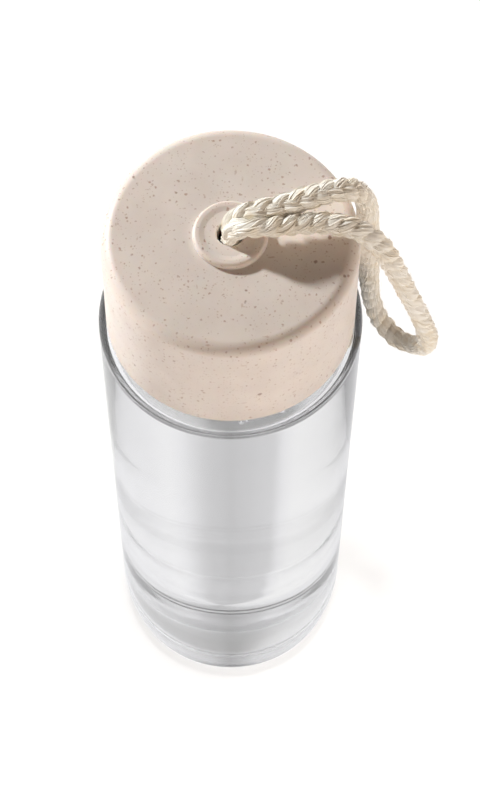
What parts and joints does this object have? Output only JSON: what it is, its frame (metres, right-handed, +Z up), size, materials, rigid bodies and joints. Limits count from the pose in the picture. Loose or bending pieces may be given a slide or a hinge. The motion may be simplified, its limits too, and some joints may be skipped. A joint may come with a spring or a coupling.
{
  "type": "drinking bottle with screw lid",
  "caption": "Clear round glass bottle with a square shoulder, a speckled screw lid over a liner and seal, and a knotted rope loop through an eyelet.",
  "frame": {"origin": "middle of the base, on the surface that the bottle stands on", "axes": "+Z up along the bottle's axis; +X towards the side on which the rope loop hangs"},
  "size_m": [0.0848, 0.066, 0.2263],
  "materials": {
    "clear_glass": "clear, smooth",
    "silicone": "translucent white silicone, satin",
    "liner_plastic": "moulded, satin gloss",
    "speckled_plastic": "wheat fibre plastic, satin, with fine brown specks",
    "cotton_rope": "braided natural cotton"
  },
  "bodies": {
    "bottle": {"glass_bottle": "clear_glass"},
    "seal": {"seal_ring": "silicone"},
    "lid": {"lid_liner": "liner_plastic", "lid_shell": "speckled_plastic", "rope_eyelet": "speckled_plastic"},
    "rope": {"rope_knot": "cotton_rope", "rope_loop": "cotton_rope"}
  },
  "joints": [
    {"name": "lid_rise", "type": "slide", "parent": "bottle", "child": "seal", "axis": [0, 0, 1], "range_m": [0, 0.0281]},
    {"name": "lid_turn", "type": "hinge", "parent": "seal", "child": "lid", "pos_m": [0, 0, 0.2019], "axis": [0, 0, 1], "range_deg": [0, 1260]},
    {"name": "rope_swivel", "type": "hinge", "parent": "lid", "child": "rope", "pos_m": [0, 0, 0.2174], "axis": [0, 0, 1], "continuous": true}
  ],
  "couplings": [
    {"joint": "lid_rise", "follows": "lid_turn", "m_per_rad": 0.0012732}
  ]
}
